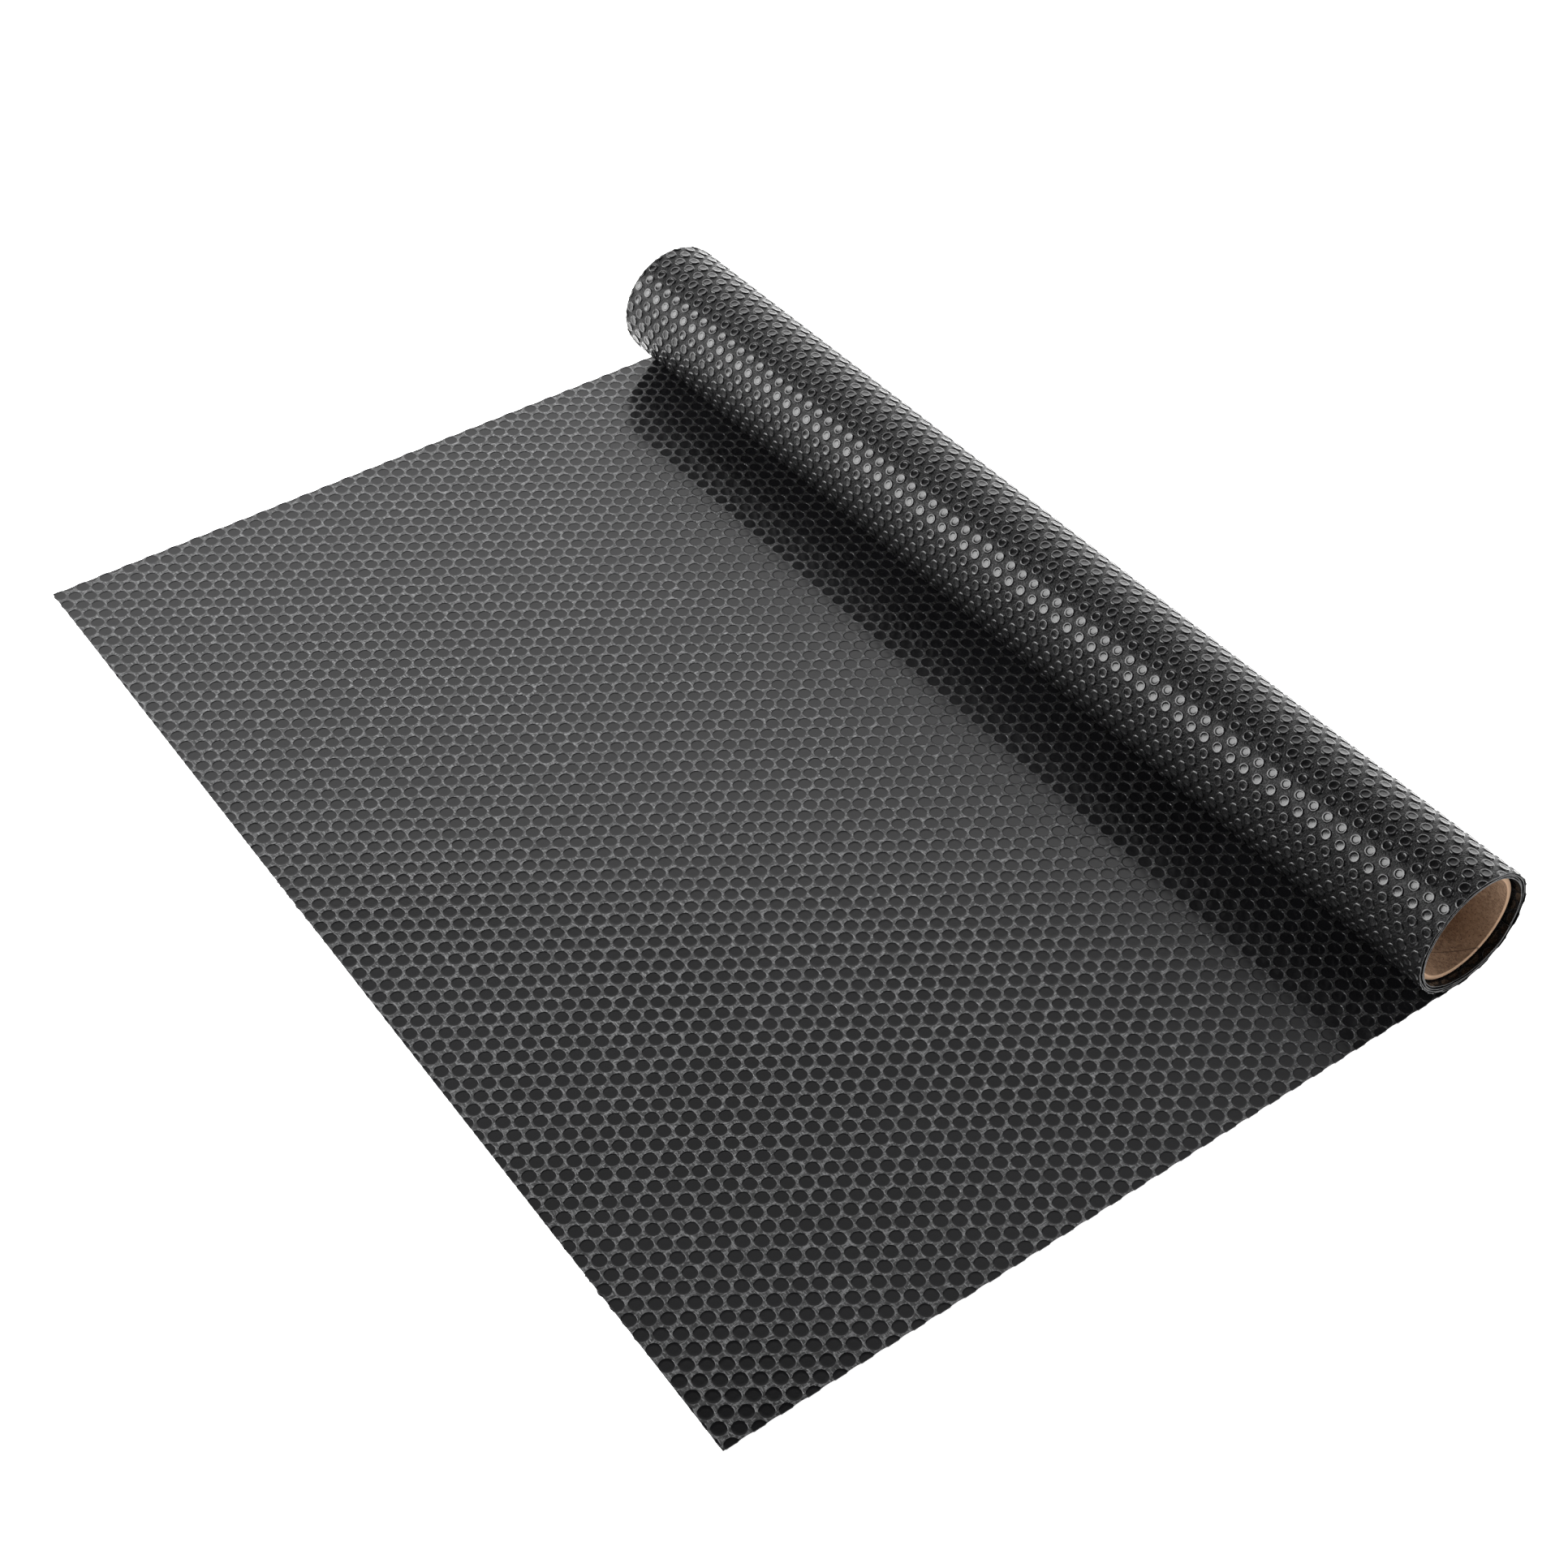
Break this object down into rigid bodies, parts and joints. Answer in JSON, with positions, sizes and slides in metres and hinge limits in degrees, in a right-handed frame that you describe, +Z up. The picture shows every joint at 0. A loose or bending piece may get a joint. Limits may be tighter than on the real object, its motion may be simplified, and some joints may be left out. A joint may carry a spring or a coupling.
{
  "type": "anti-slip mat roll",
  "caption": "Thin black mat with round studs, part laid flat and part wound on a cardboard core; the flat stretch rolls up and the core slides out.",
  "frame": {"origin": "centre of the bounding box, on the floor that the mat lies on", "axes": "+X from the free end of the mat to the winding, +Y along the winding's axis, +Z up"},
  "size_m": [0.3584, 0.5, 0.0548],
  "materials": {
    "mat_sheet": "semi-gloss studs on a fine grained ground outside, matt dark spots on a grey ground inside",
    "kraft_board": "uncoated spiral-wound kraft board"
  },
  "bodies": {
    "roll": {"wound_sheet": "mat_sheet"},
    "strip_30": {"mat_strip_30": "mat_sheet"},
    "strip_29": {"mat_strip_29": "mat_sheet"},
    "strip_28": {"mat_strip_28": "mat_sheet"},
    "strip_27": {"mat_strip_27": "mat_sheet"},
    "strip_26": {"mat_strip_26": "mat_sheet"},
    "strip_25": {"mat_strip_25": "mat_sheet"},
    "strip_24": {"mat_strip_24": "mat_sheet"},
    "strip_23": {"mat_strip_23": "mat_sheet"},
    "strip_22": {"mat_strip_22": "mat_sheet"},
    "strip_21": {"mat_strip_21": "mat_sheet"},
    "strip_20": {"mat_strip_20": "mat_sheet"},
    "strip_19": {"mat_strip_19": "mat_sheet"},
    "strip_18": {"mat_strip_18": "mat_sheet"},
    "strip_17": {"mat_strip_17": "mat_sheet"},
    "strip_16": {"mat_strip_16": "mat_sheet"},
    "strip_15": {"mat_strip_15": "mat_sheet"},
    "strip_14": {"mat_strip_14": "mat_sheet"},
    "strip_13": {"mat_strip_13": "mat_sheet"},
    "strip_12": {"mat_strip_12": "mat_sheet"},
    "strip_11": {"mat_strip_11": "mat_sheet"},
    "strip_10": {"mat_strip_10": "mat_sheet"},
    "strip_09": {"mat_strip_09": "mat_sheet"},
    "strip_08": {"mat_strip_08": "mat_sheet"},
    "strip_07": {"mat_strip_07": "mat_sheet"},
    "strip_06": {"mat_strip_06": "mat_sheet"},
    "strip_05": {"mat_strip_05": "mat_sheet"},
    "strip_04": {"mat_strip_04": "mat_sheet"},
    "strip_03": {"mat_strip_03": "mat_sheet"},
    "strip_02": {"mat_strip_02": "mat_sheet"},
    "free_end": {"mat_strip_01": "mat_sheet"},
    "core": {"cardboard_core": "kraft_board"}
  },
  "joints": [
    {"name": "bend_roll", "type": "hinge", "parent": "roll", "child": "strip_30", "pos_m": [0.14649, 0, 0.0006], "axis": [0, 1, 0], "range_deg": [0, 19.97]},
    {"name": "bend_30", "type": "hinge", "parent": "strip_30", "child": "strip_29", "pos_m": [0.13584, 0, 0.0006], "axis": [0, 1, 0], "range_deg": [0, 23.76]},
    {"name": "bend_29", "type": "hinge", "parent": "strip_29", "child": "strip_28", "pos_m": [0.12519, 0, 0.0006], "axis": [0, 1, 0], "range_deg": [0, 21.97]},
    {"name": "bend_28", "type": "hinge", "parent": "strip_28", "child": "strip_27", "pos_m": [0.11454, 0, 0.0006], "axis": [0, 1, 0], "range_deg": [0, 21.83]},
    {"name": "bend_27", "type": "hinge", "parent": "strip_27", "child": "strip_26", "pos_m": [0.10389, 0, 0.0006], "axis": [0, 1, 0], "range_deg": [0, 21.76]},
    {"name": "bend_26", "type": "hinge", "parent": "strip_26", "child": "strip_25", "pos_m": [0.09324, 0, 0.0006], "axis": [0, 1, 0], "range_deg": [0, 21.69]},
    {"name": "bend_25", "type": "hinge", "parent": "strip_25", "child": "strip_24", "pos_m": [0.08259, 0, 0.0006], "axis": [0, 1, 0], "range_deg": [0, 21.63]},
    {"name": "bend_24", "type": "hinge", "parent": "strip_24", "child": "strip_23", "pos_m": [0.07194, 0, 0.0006], "axis": [0, 1, 0], "range_deg": [0, 21.56]},
    {"name": "bend_23", "type": "hinge", "parent": "strip_23", "child": "strip_22", "pos_m": [0.06129, 0, 0.0006], "axis": [0, 1, 0], "range_deg": [0, 21.49]},
    {"name": "bend_22", "type": "hinge", "parent": "strip_22", "child": "strip_21", "pos_m": [0.05064, 0, 0.0006], "axis": [0, 1, 0], "range_deg": [0, 21.43]},
    {"name": "bend_21", "type": "hinge", "parent": "strip_21", "child": "strip_20", "pos_m": [0.03999, 0, 0.0006], "axis": [0, 1, 0], "range_deg": [0, 21.36]},
    {"name": "bend_20", "type": "hinge", "parent": "strip_20", "child": "strip_19", "pos_m": [0.02934, 0, 0.0006], "axis": [0, 1, 0], "range_deg": [0, 21.3]},
    {"name": "bend_19", "type": "hinge", "parent": "strip_19", "child": "strip_18", "pos_m": [0.01869, 0, 0.0006], "axis": [0, 1, 0], "range_deg": [0, 21.23]},
    {"name": "bend_18", "type": "hinge", "parent": "strip_18", "child": "strip_17", "pos_m": [0.00804, 0, 0.0006], "axis": [0, 1, 0], "range_deg": [0, 21.17]},
    {"name": "bend_17", "type": "hinge", "parent": "strip_17", "child": "strip_16", "pos_m": [-0.00261, 0, 0.0006], "axis": [0, 1, 0], "range_deg": [0, 21.11]},
    {"name": "bend_16", "type": "hinge", "parent": "strip_16", "child": "strip_15", "pos_m": [-0.01326, 0, 0.0006], "axis": [0, 1, 0], "range_deg": [0, 21.05]},
    {"name": "bend_15", "type": "hinge", "parent": "strip_15", "child": "strip_14", "pos_m": [-0.02391, 0, 0.0006], "axis": [0, 1, 0], "range_deg": [0, 20.98]},
    {"name": "bend_14", "type": "hinge", "parent": "strip_14", "child": "strip_13", "pos_m": [-0.03456, 0, 0.0006], "axis": [0, 1, 0], "range_deg": [0, 20.92]},
    {"name": "bend_13", "type": "hinge", "parent": "strip_13", "child": "strip_12", "pos_m": [-0.04521, 0, 0.0006], "axis": [0, 1, 0], "range_deg": [0, 20.86]},
    {"name": "bend_12", "type": "hinge", "parent": "strip_12", "child": "strip_11", "pos_m": [-0.05586, 0, 0.0006], "axis": [0, 1, 0], "range_deg": [0, 20.8]},
    {"name": "bend_11", "type": "hinge", "parent": "strip_11", "child": "strip_10", "pos_m": [-0.06651, 0, 0.0006], "axis": [0, 1, 0], "range_deg": [0, 20.74]},
    {"name": "bend_10", "type": "hinge", "parent": "strip_10", "child": "strip_09", "pos_m": [-0.07716, 0, 0.0006], "axis": [0, 1, 0], "range_deg": [0, 20.68]},
    {"name": "bend_09", "type": "hinge", "parent": "strip_09", "child": "strip_08", "pos_m": [-0.08781, 0, 0.0006], "axis": [0, 1, 0], "range_deg": [0, 20.63]},
    {"name": "bend_08", "type": "hinge", "parent": "strip_08", "child": "strip_07", "pos_m": [-0.09846, 0, 0.0006], "axis": [0, 1, 0], "range_deg": [0, 20.57]},
    {"name": "bend_07", "type": "hinge", "parent": "strip_07", "child": "strip_06", "pos_m": [-0.10911, 0, 0.0006], "axis": [0, 1, 0], "range_deg": [0, 20.51]},
    {"name": "bend_06", "type": "hinge", "parent": "strip_06", "child": "strip_05", "pos_m": [-0.11976, 0, 0.0006], "axis": [0, 1, 0], "range_deg": [0, 20.45]},
    {"name": "bend_05", "type": "hinge", "parent": "strip_05", "child": "strip_04", "pos_m": [-0.13041, 0, 0.0006], "axis": [0, 1, 0], "range_deg": [0, 20.4]},
    {"name": "bend_04", "type": "hinge", "parent": "strip_04", "child": "strip_03", "pos_m": [-0.14106, 0, 0.0006], "axis": [0, 1, 0], "range_deg": [0, 20.34]},
    {"name": "roll_up_even", "type": "hinge", "parent": "strip_03", "child": "strip_02", "pos_m": [-0.15171, 0, 0.0006], "axis": [0, 1, 0], "range_deg": [0, 20.28]},
    {"name": "roll_up_odd", "type": "hinge", "parent": "strip_02", "child": "free_end", "pos_m": [-0.16236, 0, 0.0006], "axis": [0, 1, 0], "range_deg": [0, 20.23]},
    {"name": "core_slide", "type": "slide", "parent": "roll", "child": "core", "axis": [0, -1, 0], "range_m": [0, 0.5]}
  ],
  "couplings": [
    {"joint": "bend_roll", "follows": "roll_up_even", "ratio": 0.98471},
    {"joint": "bend_30", "follows": "roll_up_odd", "ratio": 1.1745},
    {"joint": "bend_29", "follows": "roll_up_even", "ratio": 1.0833},
    {"joint": "bend_28", "follows": "roll_up_odd", "ratio": 1.0791},
    {"joint": "bend_27", "follows": "roll_up_even", "ratio": 1.073},
    {"joint": "bend_26", "follows": "roll_up_odd", "ratio": 1.0722},
    {"joint": "bend_25", "follows": "roll_up_even", "ratio": 1.0666},
    {"joint": "bend_24", "follows": "roll_up_odd", "ratio": 1.0657},
    {"joint": "bend_23", "follows": "roll_up_even", "ratio": 1.0597},
    {"joint": "bend_22", "follows": "roll_up_odd", "ratio": 1.0593},
    {"joint": "bend_21", "follows": "roll_up_even", "ratio": 1.0533},
    {"joint": "bend_20", "follows": "roll_up_odd", "ratio": 1.0529},
    {"joint": "bend_19", "follows": "roll_up_even", "ratio": 1.0468},
    {"joint": "bend_18", "follows": "roll_up_odd", "ratio": 1.0465},
    {"joint": "bend_17", "follows": "roll_up_even", "ratio": 1.0409},
    {"joint": "bend_16", "follows": "roll_up_odd", "ratio": 1.0405},
    {"joint": "bend_15", "follows": "roll_up_even", "ratio": 1.0345},
    {"joint": "bend_14", "follows": "roll_up_odd", "ratio": 1.0341},
    {"joint": "bend_13", "follows": "roll_up_even", "ratio": 1.0286},
    {"joint": "bend_12", "follows": "roll_up_odd", "ratio": 1.0282},
    {"joint": "bend_11", "follows": "roll_up_even", "ratio": 1.0227},
    {"joint": "bend_10", "follows": "roll_up_odd", "ratio": 1.0222},
    {"joint": "bend_09", "follows": "roll_up_even", "ratio": 1.0173},
    {"joint": "bend_08", "follows": "roll_up_odd", "ratio": 1.0168},
    {"joint": "bend_07", "follows": "roll_up_even", "ratio": 1.0113},
    {"joint": "bend_06", "follows": "roll_up_odd", "ratio": 1.0109},
    {"joint": "bend_05", "follows": "roll_up_even", "ratio": 1.0059},
    {"joint": "bend_04", "follows": "roll_up_odd", "ratio": 1.0054}
  ]
}
